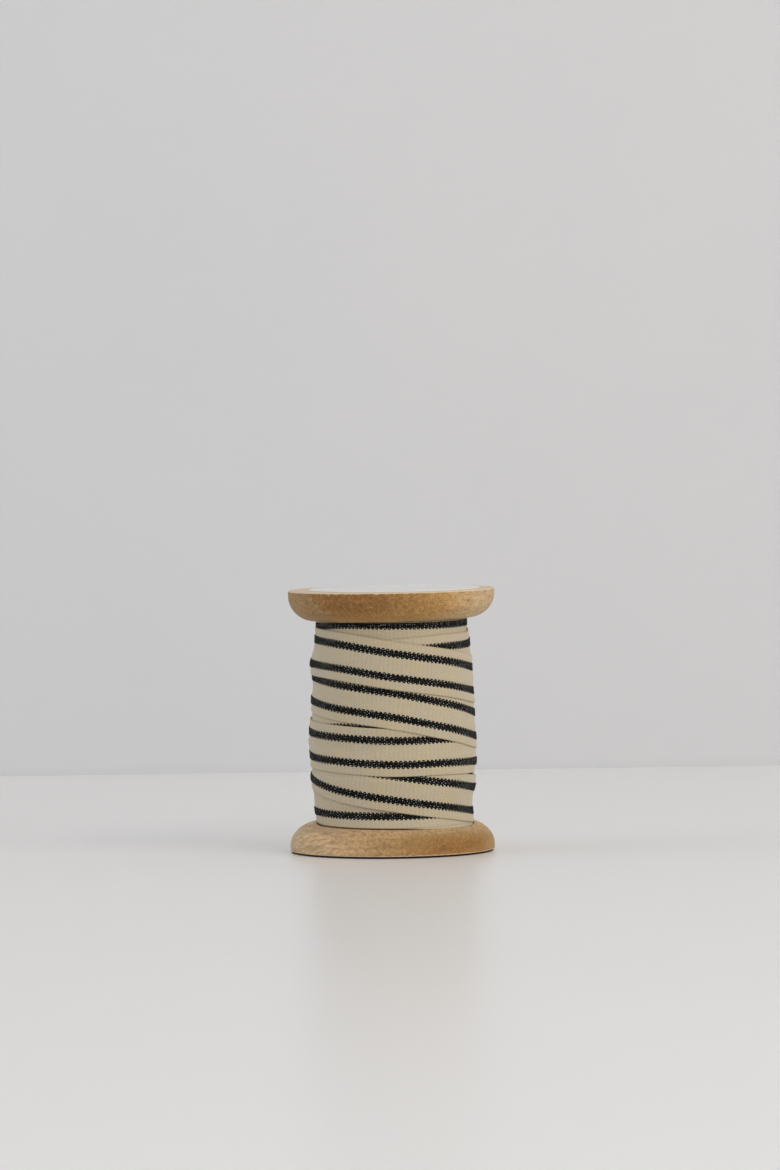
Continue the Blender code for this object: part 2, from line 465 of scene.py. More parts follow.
def tucked(s, angle, radius, height, depth):
    # what reaches the top disc is bent in under it; depth is how far the place lies inside the tape
    x = s["rollX"] + radius * np.sin(np.radians(angle))
    limit = underTopDisc(x) - s["tuckGap"]
    bend = s["tuckBend"]
    centre = limit - bend
    over = np.maximum(0, height - centre)
    turn = np.minimum(over / bend, 0.5 * math.pi)
    past = np.maximum(0, over - 0.5 * math.pi * bend)
    newRadius = np.where(over > 0, radius + depth - bend + (bend - depth) * np.cos(turn) - past, radius)
    newHeight = np.where(over > 0, centre + (bend - depth) * np.sin(turn), height)
    return newRadius, newHeight


def placeOnRoll(s, angle, radius, height):
    turn = np.radians(angle)
    return np.stack([s["rollX"] + radius * np.sin(turn), -radius * np.cos(turn), height], axis=-1) * mm


stripeSet = {
    "centre": 3.15,            # mm from the middle of the tape to the middle of each stripe
    "rows": (-0.69, -0.23, 0.23, 0.69),
    "pitch": 1.23,
    "length": 0.9,
    "width": 0.9,
    "height": 0.5,
    "spread": 0.07,            # the floats differ in size by this share
    "base": 0.7,               # half the width of the dark ground, and how soft its edge is
    "baseEdge": 0.05,
    "endGap": 0.5,             # from the tape's ends
    "aboveFloor": 0.3,
    "belowDisc": 0.32,         # the topmost rows stay this far below the wood
    # a float is left out where the tape is covered this deep, at its place and this far above and below it
    "coverDepth": 0.25,
    "lookAround": 0.45,
}

tapeMeshSet = {
    "skip": 2,                 # every second column of the grid
    "edges": (1.0, 0.994, 0.98, 0.955),
    "middleReach": 0.92,
    "middleSteps": 26,
    "innerReach": 0.985,
    "innerSteps": 6,
    "roundFrom": 0.955,        # the edges are rounded from here, over the rest of the half width
    "roundOver": 0.045,
    "edgeThin": 0.45,
    "sharpFrom": 60,
}


def tapeMesh(name, s, m, layer):
    columns = np.arange(0, len(layer["along"]), m["skip"])
    middle = np.linspace(m["middleReach"], -m["middleReach"], m["middleSteps"])
    outside = np.array([*m["edges"], *middle, *(-e for e in m["edges"][::-1])])
    inside = np.linspace(-m["innerReach"], m["innerReach"], m["innerSteps"])
    loops = np.concatenate([outside, inside])
    place = (loops + 1) * 0.5 * (len(layer["across"]) - 1)
    start = np.clip(np.floor(place).astype(int), 0, len(layer["across"]) - 2)
    part = place - start
    radius, height, offset = (
        layer[key][columns][:, start] * (1 - part) + layer[key][columns][:, start + 1] * part
        for key in ("inner", "height", "offset")
    )
    intoEdge = ((np.abs(outside) - m["roundFrom"]) / m["roundOver"]).clip(0, 1)
    rounding = np.sqrt(np.clip(1 - intoEdge ** 2, 0, 1))
    thick = s["thickness"] * (m["edgeThin"] + (1 - m["edgeThin"]) * rounding)
    thick = np.concatenate([thick, np.zeros(len(inside))])
    angle = np.broadcast_to(layer["along"][columns][:, None], radius.shape)
    depth = s["thickness"] - thick
    radius, height = tucked(s, angle, radius + thick[None, :], height, depth[None, :])
    verts = placeOnRoll(s, angle, radius, height).reshape(-1, 3)
    tilt = layer["tilt"][columns][:, None]
    alongMap = layer["lengths"][columns][:, None] + offset * np.sin(tilt)
    acrossMap = offset * np.cos(tilt)

    ring = len(loops)
    faces = []
    for c in range(len(columns) - 1):
        a, b = c * ring, (c + 1) * ring
        for i in range(ring):
            j = (i + 1) % ring
            faces.append((a + i, a + j, b + j, b + i))
    faces.append(tuple(range(ring))[::-1])
    faces.append(tuple(range(len(verts) - ring, len(verts))))
    mesh = bpy.data.meshes.new(name)
    mesh.from_pydata(verts.tolist(), [], faces)
    layout = mesh.uv_layers.new(name="tape")
    loopVerts = np.empty(len(mesh.loops), int)
    mesh.loops.foreach_get("vertex_index", loopVerts)
    pairs = np.stack([alongMap.ravel(), acrossMap.ravel()], axis=-1)[loopVerts]
    layout.data.foreach_set("uv", pairs.astype(np.float32).ravel())
    mesh.shade_smooth()
    mesh.set_sharp_from_angle(angle=math.radians(m["sharpFrom"]))
    return mesh


def stripeRuns(s, p, layer, roll):
    # the places of the stripes' yarn floats, in runs along the tape, leaving out what is covered
    runs = []
    inner = layer["inner"]
    for side in (-1, 1):
        for number, row in enumerate(p["rows"]):
            across = side * p["centre"] + row
            phase = 0.5 * (number % 2)
            start, end = phase * p["pitch"] + p["endGap"], layer["lengths"][-1] - p["endGap"]
            places = np.arange(start, end, p["pitch"])
            along, tilt, middle = (
                np.interp(places, layer["lengths"], layer[key]) for key in ("along", "tilt", "middle")
            )
            angle = along - np.degrees(across * np.sin(tilt) / s["meanRadius"])
            column = np.clip((angle + 180) / 360 * roll.count, 0, len(layer["along"]) - 1.001)
            first = np.floor(column).astype(int)
            part = column - first
            spot = (across / (0.5 * s["width"]) + 1) * 0.5 * (len(layer["across"]) - 1)
            lower = int(spot)
            share = spot - lower
            radius = (1 - part) * ((1 - share) * inner[first, lower] + share * inner[first, lower + 1])
            radius += part * ((1 - share) * inner[first + 1, lower] + share * inner[first + 1, lower + 1])
            radius = radius + s["thickness"]
            height = np.maximum(middle + across * np.cos(tilt), s["floorOfRoll"] + p["aboveFloor"])
            rows = np.round(column).astype(int) % roll.count
            shown = np.zeros(len(places), bool)
            for reach in (-p["lookAround"], 0, p["lookAround"]):
                shown |= roll.radiusAt(rows, height + reach) < radius + p["coverDepth"]
            radius, newHeight = tucked(s, angle, radius, height, 0.0)
            x = s["rollX"] + radius * np.sin(np.radians(angle))
            highest = underTopDisc(x) - 0.5 * p["width"] - p["belowDisc"]
            shown &= height < highest + p["width"]
            points = placeOnRoll(s, angle, radius, np.minimum(newHeight, highest))
            # each run but the first begins with a covered place, which is left out
            for order, run in enumerate(np.split(np.arange(len(places)), np.flatnonzero(~shown))):
                bare = run[1:] if order else run
                if len(bare) > 1:
                    runs.append(points[bare])
    return runs


clothSet = {
    "roughness": 0.86,
    "sheen": 0.3,
    "sheenRoughness": 0.5,
    "warm": "#bba983",
    "grey": "#b2a998",
    "patchScale": 0.14,
    # mm: of the ribs, 0.615 mm apart, every second one is drawn, as the others are finer than the photo holds
    "ribPeriod": 1.23,
    "ribTone": 0.035,
    "crownPeriod": 0.68,
    "crownTone": 0.1,
    "slubScale": (1.6, 0.16, 1.0),
    "slubTone": 0.16,
    "selvedge": "#b09c76",
    "selvedgeFrom": 6.0,
    "selvedgeTo": 6.3,
    "stripeGround": "#0a0a09",
    "relief": 0.55,
    "reliefHeight": 0.06 * mm,
}


def ribbonCloth(c, p):
    # undyed cotton, woven plain and matt: fine columns of thread crowns, warm and grey patches, no gloss
    material, tree, shader = newMaterial(
        "wovenCottonTape", Roughness=c["roughness"],
        Sheen_Weight=c["sheen"], Sheen_Roughness=c["sheenRoughness"],
    )
    layout = addNode(tree, "ShaderNodeUVMap", uv_map="tape")
    place = addNode(tree, "ShaderNodeSeparateXYZ", {0: layout.outputs["UV"]})
    along, across = place.outputs["X"], place.outputs["Y"]
    # thread crowns in columns, those of each column set off by half against the next
    waves = []
    for way, period in ((along, c["ribPeriod"]), (across, c["crownPeriod"])):
        turns = addNode(tree, "ShaderNodeMath", {0: way, 1: 2 * math.pi / period}, operation="MULTIPLY")
        waves.append(addNode(tree, "ShaderNodeMath", {0: turns.outputs[0]}, operation="COSINE").outputs[0])
    crowns = addNode(tree, "ShaderNodeMath", {0: waves[0], 1: waves[1]}, operation="MULTIPLY")
    # uneven yarn: long thin slubs across the tape, where each weft thread runs
    stretch = addNode(tree, "ShaderNodeMapping", {"Vector": layout.outputs["UV"], "Scale": c["slubScale"]})
    slubs = addNode(tree, "ShaderNodeTexNoise", {"Vector": stretch.outputs[0], "Scale": 1.0, "Detail": 4.0})
    patches = addNode(
        tree, "ShaderNodeTexNoise", {"Vector": layout.outputs["UV"], "Scale": c["patchScale"], "Detail": 3.0}
    )
    warmth = addNode(
        tree, "ShaderNodeMix",
        {0: patches.outputs["Fac"], 6: linearColour(c["warm"]), 7: linearColour(c["grey"])}, data_type="RGBA",
    )
    ribTone = addNode(tree, "ShaderNodeMath", {0: waves[0], 1: c["ribTone"]}, operation="MULTIPLY")
    fine = addNode(
        tree, "ShaderNodeMath", {0: crowns.outputs[0], 1: c["crownTone"], 2: ribTone.outputs[0]},
        operation="MULTIPLY_ADD",
    )
    slub = addNode(
        tree, "ShaderNodeMath", {0: slubs.outputs["Fac"], 1: c["slubTone"], 2: 1 - 0.5 * c["slubTone"]},
        operation="MULTIPLY_ADD",
    )
    level = addNode(tree, "ShaderNodeMath", {0: fine.outputs[0], 1: slub.outputs[0]}, operation="ADD")
    cream = addNode(
        tree, "ShaderNodeMix",
        {0: 1.0, 6: warmth.outputs[2], 7: level.outputs[0]}, data_type="RGBA", blend_type="MULTIPLY",
    )
    # the selvedge: a closer, slightly darker thread along each edge
    reach = addNode(tree, "ShaderNodeMath", {0: across}, operation="ABSOLUTE")
    selvedge = addNode(
        tree, "ShaderNodeMapRange",
        {"Value": reach.outputs[0], "From Min": c["selvedgeFrom"], "From Max": c["selvedgeTo"]},
        interpolation_type="SMOOTHSTEP",
    )
    # the ground of each stripe, dark between the floats that stand on it
    away = addNode(tree, "ShaderNodeMath", {0: reach.outputs[0], 1: p["centre"]}, operation="SUBTRACT")
    apart = addNode(tree, "ShaderNodeMath", {0: away.outputs[0]}, operation="ABSOLUTE")
    within, beyond = p["base"] - p["baseEdge"], p["base"] + p["baseEdge"]
    ground = addNode(
        tree, "ShaderNodeMapRange",
        {"Value": apart.outputs[0], "From Min": within, "From Max": beyond, "To Min": 1.0, "To Max": 0.0},
        interpolation_type="SMOOTHSTEP",
    )
    colour = cream.outputs[2]
    for amount, hexCode in ((selvedge, c["selvedge"]), (ground, c["stripeGround"])):
        colour = addNode(
            tree, "ShaderNodeMix", {0: amount.outputs[0], 6: colour, 7: linearColour(hexCode)},
            data_type="RGBA",
        ).outputs[2]
    tree.links.new(colour, shader.inputs["Base Color"])
    relief = addNode(tree, "ShaderNodeMath", {0: crowns.outputs[0], 1: slubs.outputs["Fac"]}, operation="ADD")
    bump = addNode(
        tree, "ShaderNodeBump",
        {"Height": relief.outputs[0], "Strength": c["relief"], "Distance": c["reliefHeight"]},
    )
    tree.links.new(bump.outputs["Normal"], shader.inputs["Normal"])
    return material


yarnSet = {
    "roughness": 0.55,
    "gloss": 0.08,
    "fuzz": 0.14,
    "fuzzRoughness": 0.28,
    "dark": "#070706",
    "glint": "#c4c4be",
    "glintFrom": 0.8,          # the painted glint: on the crown of a float, which is 1 at its top
    "glintFull": 0.96,
    "fewer": 2.0,              # the higher this is, the fewer of the crowns carry the painted glint
}


def stripeYarn(y):
    # black-dyed cotton yarn in short floats: near black, with a painted glint on some of the crowns, and pale
    # fuzz where it is seen at a slant
    material, tree, shader = newMaterial(
        "dyedCottonYarn", Roughness=y["roughness"], Specular_IOR_Level=y["gloss"],
        Sheen_Weight=y["fuzz"], Sheen_Roughness=y["fuzzRoughness"],
    )
    crown = addNode(tree, "ShaderNodeAttribute", attribute_name="crown")
    shade = addNode(tree, "ShaderNodeAttribute", attribute_name="shade")
    # painted highlight: the glint on each crown is painted into the base colour
    marksWithPaintedLight = addNode(
        tree, "ShaderNodeMapRange",
        {"Value": crown.outputs["Fac"], "From Min": y["glintFrom"], "From Max": y["glintFull"]},
        interpolation_type="SMOOTHSTEP",
    )
    few = addNode(tree, "ShaderNodeMath", {0: shade.outputs["Fac"], 1: y["fewer"]}, operation="POWER")
    amount = addNode(tree, "ShaderNodeMath", {0: marksWithPaintedLight.outputs[0], 1: few.outputs[0]}, operation="MULTIPLY")
    colour = addNode(
        tree, "ShaderNodeMix",
        {0: amount.outputs[0], 6: linearColour(y["dark"]), 7: linearColour(y["glint"])}, data_type="RGBA",
    )
    tree.links.new(colour.outputs[2], shader.inputs["Base Color"])
    return material


def floatTree():
    # one yarn float on each point of the runs, laid along the tape and rounded outwards
    tree = bpy.data.node_groups.new("yarnFloats", "GeometryNodeTree")
    tree.is_modifier = True
    tree.interface.new_socket("Runs", in_out="INPUT", socket_type="NodeSocketGeometry")
    for name in ("Float Length", "Float Width", "Float Height", "Spread"):
        tree.interface.new_socket(name, in_out="INPUT", socket_type="NodeSocketFloat")
    tree.interface.new_socket("Seed", in_out="INPUT", socket_type="NodeSocketInt")
    tree.interface.new_socket("Yarn", in_out="INPUT", socket_type="NodeSocketMaterial")
    tree.interface.new_socket("Floats", in_out="OUTPUT", socket_type="NodeSocketGeometry")
    given = addNode(tree, "NodeGroupInput").outputs
    points = addNode(tree, "GeometryNodeCurveToPoints", {"Curve": given["Runs"]}, mode="EVALUATED")
    # 48 triangles a float; "crown" runs from -1 on its underside to 1 at its top
    ball = addNode(tree, "GeometryNodeMeshUVSphere", {"Segments": 8, "Rings": 4, "Radius": 0.5})
    where = addNode(tree, "GeometryNodeInputPosition")
    parts = addNode(tree, "ShaderNodeSeparateXYZ", {0: where.outputs[0]})
    doubled = addNode(tree, "ShaderNodeMath", {0: parts.outputs["X"], 1: 2.0}, operation="MULTIPLY")
    marked = addNode(
        tree, "GeometryNodeStoreNamedAttribute",
        {"Geometry": ball.outputs["Mesh"], "Name": "crown", "Value": doubled.outputs[0]},
        data_type="FLOAT", domain="POINT",
    )
    sizes = addNode(
        tree, "ShaderNodeCombineXYZ",
        {"X": given["Float Height"], "Y": given["Float Width"], "Z": given["Float Length"]},
    )
    lowest = addNode(tree, "ShaderNodeMath", {0: 1.0, 1: given["Spread"]}, operation="SUBTRACT")
    highest = addNode(tree, "ShaderNodeMath", {0: 1.0, 1: given["Spread"]}, operation="ADD")
    # the number inputs of Random Value share their names with the vector ones, so they go by place: 2 and 3
    size = addNode(
        tree, "FunctionNodeRandomValue",
        {2: lowest.outputs[0], 3: highest.outputs[0], "Seed": given["Seed"]}, data_type="FLOAT",
    )
    scale = addNode(
        tree, "ShaderNodeVectorMath", {0: sizes.outputs[0], "Scale": size.outputs[1]}, operation="SCALE"
    )
    placed = addNode(
        tree, "GeometryNodeInstanceOnPoints",
        {"Points": points.outputs["Points"], "Instance": marked.outputs[0],
         "Rotation": points.outputs["Rotation"], "Scale": scale.outputs[0]},
    )
    shade = addNode(
        tree, "FunctionNodeRandomValue", {2: 0.1, 3: 1.0, "Seed": given["Seed"]}, data_type="FLOAT"
    )
    toned = addNode(
        tree, "GeometryNodeStoreNamedAttribute",
        {"Geometry": placed.outputs[0], "Name": "shade", "Value": shade.outputs[1]},
        data_type="FLOAT", domain="INSTANCE",
    )
    real = addNode(tree, "GeometryNodeRealizeInstances", {"Geometry": toned.outputs[0]})
    smooth = addNode(tree, "GeometryNodeSetShadeSmooth", {"Geometry": real.outputs[0]})
    finished = addNode(
        tree, "GeometryNodeSetMaterial", {"Geometry": smooth.outputs[0], "Material": given["Yarn"]}
    )
    addNode(tree, "NodeGroupOutput", {"Floats": finished.outputs[0]})
    return tree


def makeFloats(name, runs, tree, p, material, seed):
    curve = bpy.data.curves.new(name + "Runs", "CURVE")
    curve.dimensions = "3D"
    curve.twist_mode = "Z_UP"
    for run in runs:
        spline = curve.splines.new("POLY")
        spline.points.add(len(run) - 1)
        spline.points.foreach_set("co", np.array([[*point, 1.0] for point in run]).ravel())
    source = bpy.data.objects.new(name + "Runs", curve)
    bpy.context.scene.collection.objects.link(source)
    modifier = source.modifiers.new("floats", "NODES")
    modifier.node_group = tree
    values = {
        "Float Length": p["length"] * mm, "Float Width": p["width"] * mm, "Float Height": p["height"] * mm,
        "Spread": p["spread"], "Seed": seed, "Yarn": material,
    }
    for item in tree.interface.items_tree:
        if item.in_out == "INPUT" and item.name in values:
            modifier[item.identifier] = values[item.name]
    graph = bpy.context.evaluated_depsgraph_get()
    mesh = bpy.data.meshes.new_from_object(
        source.evaluated_get(graph), preserve_all_data_layers=True, depsgraph=graph
    )
    mesh.name = name
    source.modifiers.clear()
    bpy.data.objects.remove(source)
    bpy.data.curves.remove(curve)
    return newPiece(name, mesh, material)


def bodyMesh(s, roll):
    # the wound body that the turns lie on, closed at both ends
    steps = s["bodyColumns"]
    heights = np.linspace(s["floorOfRoll"], s["bodyTop"], s["bodyRows"])
    form = bmesh.new()
    grid = []
    for column in range(steps):
        row = column * roll.count // steps
        radius = np.interp(heights, roll.heights, roll.body[row]) - s["bodyInset"]
        grid.append([form.verts.new(point) for point in placeOnRoll(s, roll.angles[row], radius, heights)])
    for c in range(steps):
        left, right = grid[c], grid[(c + 1) % steps]
        for i in range(len(heights) - 1):
            form.faces.new((left[i], right[i], right[i + 1], left[i + 1]))
    form.faces.new([ring[0] for ring in grid][::-1])
    form.faces.new([ring[-1] for ring in grid])
    mesh = bpy.data.meshes.new("woundBody")
    form.to_mesh(mesh)
    form.free()
    mesh.uv_layers.new(name="tape")
    mesh.shade_smooth()
    return mesh


def makeRibbon(s):
    # returns the radius of the roll's foot at each angle, which the disc under it is turned to
    roll = Roll(s)
    under = roll.lay(s["underStart"], s["underTurns"], s["underFloor"])
    print("under turns laid")
    lap = roll.lay(s["lapStart"], s["lapTurns"], s["lapFloor"])
    print("lap turns laid")
    begin, full, end, gone = s["pressedAngles"]
    press = softStep(begin, full, under["frontAngle"]) * softStep(gone, end, under["frontAngle"])
    under["inner"] += s["pressedOut"] * press[:, None] * softStep(*s["pressedHeights"], under["height"])
    cloth = ribbonCloth(clothSet, stripeSet)
    yarn = stripeYarn(yarnSet)
    tree = floatTree()
    pieces = [newPiece("woundBody", bodyMesh(s, roll), cloth)]
    for name, layer, seed in (("underTurns", under, 3), ("lapTurns", lap, 5)):
        pieces.append(newPiece(name, tapeMesh(name, s, tapeMeshSet, layer), cloth))
        runs = stripeRuns(s, stripeSet, layer, roll)
        pieces.append(makeFloats(name + "Stripes", runs, tree, stripeSet, yarn, seed))
        print(name, "stripes:", sum(len(run) for run in runs), "floats")
    for piece in pieces:
        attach(piece, "root")
        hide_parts("ribbon_roll")
    low, high = np.searchsorted(roll.heights, s["footHeights"])
    return roll.surface[:, low:high].max(axis=1)


# The wooden discs

discMeshSet = {
    "columns": 240,
    "faceRings": (0.0, 0.3, 0.6, 0.85, 0.97, 1.0),
    "edgeSteps": 5,
    "rimRings": (0.55, 0.8),
    "roundSteps": 18,
    "innerRing": 0.35,
    "gapInset": 0.1,
    "sharpFrom": 50,
    "edgeReach": 0.7,          # mm: how fast the mark of the outer edge fades up the rim
    "hollow": -1.0,            # its value under the rim, which paints shade into the hollow there
    # the hand-turned rim isn't quite true: by how many mm, in how many waves, from which share of the radius
    "wobble": 0.03,
    "wobbleWaves": 14,
    "wobbleFrom": 0.7,
    "wobbleJoin": 6,
    # the wood drops away round the roll's foot, with painted shade in the groove: a dark line under the tape
    # in front
    "sinkFrom": 26.0,
    "sinkFull": 23.0,
    "sinkAngles": (86, 66),    # degrees from the front: all this fades out between these
    "grooveFrom": 0.2,         # mm: it begins this far outside the roll
    "grooveDepth": 0.7,
    "grooveSlope": 0.12,
    # the mark that paints shade into the groove, and how far to the front the groove must face to take it
    "groovePaintedShade": -0.72,
    "groovePaintedShadeFrom": 0.1,
}


def discProfile(s, m):
    # from the middle of the outer face, out over the rim and in to the middle of the inner face
    gap = s["gapHeight"]
    flat = s["radius"] - max(s["edgeRound"], s["gapDepth"])
    points = [(share * flat, 0.0) for share in m["faceRings"]]
    if gap:
        points.append((flat, gap))
    for i in range(m["edgeSteps"] + 1):
        turn = 0.5 * math.pi * i / m["edgeSteps"]
        out = s["radius"] - s["edgeRound"] * (1 - math.sin(turn))
        if i or gap:
            points.append((out, gap + s["edgeRound"] * (1 - math.cos(turn))))
    points += [(s["radius"], s["straight"] * part) for part in m["rimRings"]]
    rise = s["thickness"] - s["straight"]
    for i in range(m["roundSteps"] + 1):
        turn = 0.5 * math.pi * i / m["roundSteps"]
        out = s["radius"] - s["roundIn"] * (1 - math.cos(turn))
        points.append((out, s["straight"] + rise * math.sin(turn)))
    points += [(m["innerRing"] * s["radius"], s["thickness"]), (0.0, s["thickness"])]
    return points


def shoulder(s, r):
    # the height of the rounded inner side at a radius
    inside = s["radius"] - s["roundIn"]
    part = min(1, max(0, (r - inside) / s["roundIn"]))
    return s["straight"] + (s["thickness"] - s["straight"]) * math.sqrt(1 - part ** 2)


grainSet = {
    # the noises' scales along and across the fibres, and for the rings round and up the disc, in steps a mm
    "mottleScale": (0.4, 1.05, 1.05),
    "rayScale": (0.5, 2.5, 2.5),
    "ringScale": (0.07, 0.07, 0.75),
    "cloudScale": 0.16,
    "cloud": 0.3,
    "bandWave": 3.0,
    "smooth": 0.35,            # the share of the mottle that is left below smoothFrom
    "rayFrom": 0.56,
    "rayFull": 0.7,
    "fleckFrom": 0.36,
    "fleckFull": 0.26,
    "ragged": 0.9,
    "lipFrom": 1.0,
    "lipFull": 1.14,
    "lipColour": "#dcc6a8",
    # painted shade in the hollow under the rim and in the groove round the roll's foot
    "hollowFrom": -0.4,
    "hollowFull": -0.9,
    "paintedHollowShade": "#1c110a",
    "roughness": 0.5,
    "gloss": 0.16,
    "relief": 0.3,
    "reliefHeight": 0.12 * mm,
}


def turnedWood(name, d, g):
    # beech, turned and waxed, with a low sheen: dark and mottled where the fibres come out end on and drink
    # the wax, pale and dashed with short rays where they run along the surface
    material, tree, shader = newMaterial(name, Roughness=g["roughness"], Specular_IOR_Level=g["gloss"])
    spot = addNode(tree, "ShaderNodeTexCoord")
    place = addNode(
        tree, "ShaderNodeVectorMath", {0: spot.outputs["Object"], "Scale": 1 / mm}, operation="SCALE"
    )
    turn = Vector(d["fibre"]).rotation_difference(Vector((1, 0, 0))).to_euler()
    grain = addNode(
        tree, "ShaderNodeMapping",
        {"Vector": place.outputs[0], "Rotation": tuple(turn), "Location": d["shift"]},
    )
    facing = addNode(
        tree, "ShaderNodeVectorMath", {0: spot.outputs["Normal"], 1: tuple(Vector(d["fibre"]).normalized())},
        operation="DOT_PRODUCT",
    )
    endOn = addNode(tree, "ShaderNodeMath", {0: facing.outputs["Value"], 1: 2.0}, operation="POWER")
    shades = addNode(tree, "ShaderNodeValToRGB", {"Fac": endOn.outputs[0]})
    stops = shades.color_ramp.elements
    for number, (at, colour) in enumerate(d["shades"]):
        stop = stops[number] if number < 2 else stops.new(at)
        stop.color = linearColour(colour)
    # mottle in the end grain, wavy streaks and short rays along the fibres, rings from the turning tool, and
    # broad clouds over all
    wide = addNode(
        tree, "ShaderNodeTexNoise", {"Vector": grain.outputs[0], "Scale": g["cloudScale"], "Detail": 2.0}
    )
    noises = {"clouds": wide.outputs["Fac"]}
    for kind, source, scale, settings in (
        ("mottle", grain, g["mottleScale"], {"Detail": 5.0, "Roughness": 0.68}),
        ("streaks", grain, d["streakScale"], {"Detail": 3.0, "Distortion": 0.3}),
        ("rays", grain, g["rayScale"], {"Detail": 1.0}),
        ("rings", place, g["ringScale"], {"Detail": 4.0}),
    ):
        scaled = addNode(tree, "ShaderNodeMapping", {"Vector": source.outputs[0], "Scale": scale})
        noise = addNode(tree, "ShaderNodeTexNoise", {"Vector": scaled.outputs[0], "Scale": 1.0, **settings})
        noises[kind] = noise.outputs["Fac"]
    # a broad growth band with an edge that slants across the rim
    parts = addNode(tree, "ShaderNodeSeparateXYZ", {0: place.outputs[0]})
    slant = addNode(
        tree, "ShaderNodeMath", {0: parts.outputs["Z"], 1: d["bandSlope"], 2: parts.outputs["X"]},
        operation="MULTIPLY_ADD",
    )
    wavy = addNode(
        tree, "ShaderNodeMath", {0: noises["clouds"], 1: g["bandWave"], 2: slant.outputs[0]},
        operation="MULTIPLY_ADD",
    )
    band = addNode(
        tree, "ShaderNodeMapRange",
        {"Value": wavy.outputs[0], "From Min": d["bandFrom"], "From Max": d["bandTo"],
         "To Max": d["bandAmount"]},
        interpolation_type="SMOOTHSTEP",
    )
    banded = addNode(
        tree, "ShaderNodeMix",
        {0: band.outputs[0], 6: shades.outputs["Color"], 7: linearColour(d["bandColour"])}, data_type="RGBA",
    )
    # the tone: each noise lifts and lowers it by its own strength
    smooth = addNode(
        tree, "ShaderNodeMapRange",
        {"Value": parts.outputs["Z"], "From Min": d["smoothFrom"], "From Max": d["smoothTo"],
         "To Min": g["smooth"]},
    )
    rough = addNode(
        tree, "ShaderNodeMath", {0: endOn.outputs[0], 1: d["mottleEnd"], 2: d["mottle"]},
        operation="MULTIPLY_ADD",
    )
    roughHere = addNode(
        tree, "ShaderNodeMath", {0: rough.outputs[0], 1: smooth.outputs[0]}, operation="MULTIPLY"
    )
    sideOn = addNode(
        tree, "ShaderNodeMath", {0: endOn.outputs[0], 1: -d["streak"], 2: d["streak"]},
        operation="MULTIPLY_ADD",
    )
    level = 1.0
    for kind, strength in (
        ("mottle", roughHere.outputs[0]), ("streaks", sideOn.outputs[0]), ("clouds", g["cloud"]),
        ("rings", d["rings"]),
    ):
        off = addNode(tree, "ShaderNodeMath", {0: noises[kind], 1: 0.5}, operation="SUBTRACT")
        level = addNode(
            tree, "ShaderNodeMath", {0: off.outputs[0], 1: strength, 2: level}, operation="MULTIPLY_ADD"
        ).outputs[0]
    colour = addNode(
        tree, "ShaderNodeMix", {0: 1.0, 6: banded.outputs[2], 7: level}, data_type="RGBA",
        blend_type="MULTIPLY",
    ).outputs[2]
    # over it the rays, which show end on as specks, and pale flecks; then the paler edge of the outer face,
    # down to a ragged line, and painted shade in the hollow under the rim and in the groove
    rim = addNode(tree, "ShaderNodeAttribute", attribute_name="edge")
    ragged = addNode(
        tree, "ShaderNodeMath", {0: noises["mottle"], 1: g["ragged"], 2: rim.outputs["Fac"]},
        operation="MULTIPLY_ADD",
    )
    for value, low, high, amount, ease, hexCode in (
        (noises["rays"], g["rayFrom"], g["rayFull"], d["rays"], "LINEAR", d["rayColour"]),
        (noises["rays"], g["fleckFrom"], g["fleckFull"], d["flecks"], "LINEAR", d["fleckColour"]),
        (ragged.outputs[0], g["lipFrom"], g["lipFull"], d["lipPaleness"], "SMOOTHSTEP", g["lipColour"]),
        (rim.outputs["Fac"], g["hollowFrom"], g["hollowFull"], 1.0, "LINEAR", g["paintedHollowShade"]),
    ):
        share = addNode(
            tree, "ShaderNodeMapRange", {"Value": value, "From Min": low, "From Max": high, "To Max": amount},
            interpolation_type=ease,
        )
        colour = addNode(
            tree, "ShaderNodeMix", {0: share.outputs[0], 6: colour, 7: linearColour(hexCode)},
            data_type="RGBA",
        ).outputs[2]
    tree.links.new(colour, shader.inputs["Base Color"])
    bump = addNode(
        tree, "ShaderNodeBump",
        {"Height": noises["mottle"], "Strength": g["relief"], "Distance": g["reliefHeight"]},
    )
    tree.links.new(bump.outputs["Normal"], shader.inputs["Normal"])
    return material


woodSet = {
    # the first two shades are where the fibres run along the surface and where they come out end on
    "top": {
        "fibre": (0.42, 0.89, 0.2), "shift": (3.0, 7.0, 1.0),
        "shades": ((0.0, "#c2a680"), (1.0, "#876036"), (0.3, "#ae8854"), (0.6, "#9e7847")),
        "bandSlope": 1.0, "bandFrom": 49.8, "bandTo": 48.8, "bandAmount": 0.9, "bandColour": "#977a50",
        "rings": 0.3, "mottle": 0.5, "mottleEnd": 1.9, "smoothFrom": 63.0, "smoothTo": 65.0,
        "streak": 0.8, "streakScale": (0.25, 1.9, 1.5),
        "rays": 0.6, "rayColour": "#73481f", "flecks": 0.35, "fleckColour": "#c9ad80", "lipPaleness": 0.9,
    },
    "bottom": {
        "fibre": (-0.63, 0.75, -0.2), "shift": (11.0, 2.0, 5.0),
        "shades": ((0.0, "#c3a57d"), (1.0, "#8f6636"), (0.15, "#c2a077"), (0.6, "#a38355"), (0.8, "#9b7646")),
        "bandSlope": 0.0, "bandFrom": -19.0, "bandTo": -26.0, "bandAmount": 0.6, "bandColour": "#b8a687",
        "rings": 0.7, "mottle": 0.2, "mottleEnd": 1.1, "smoothFrom": -3.0, "smoothTo": -2.0,
        "streak": 1.3, "streakScale": (0.22, 1.6, 1.3),
        "rays": 0.6, "rayColour": "#8a5424", "flecks": 0.45, "fleckColour": "#d0b58b", "lipPaleness": 0.6,
    },
}


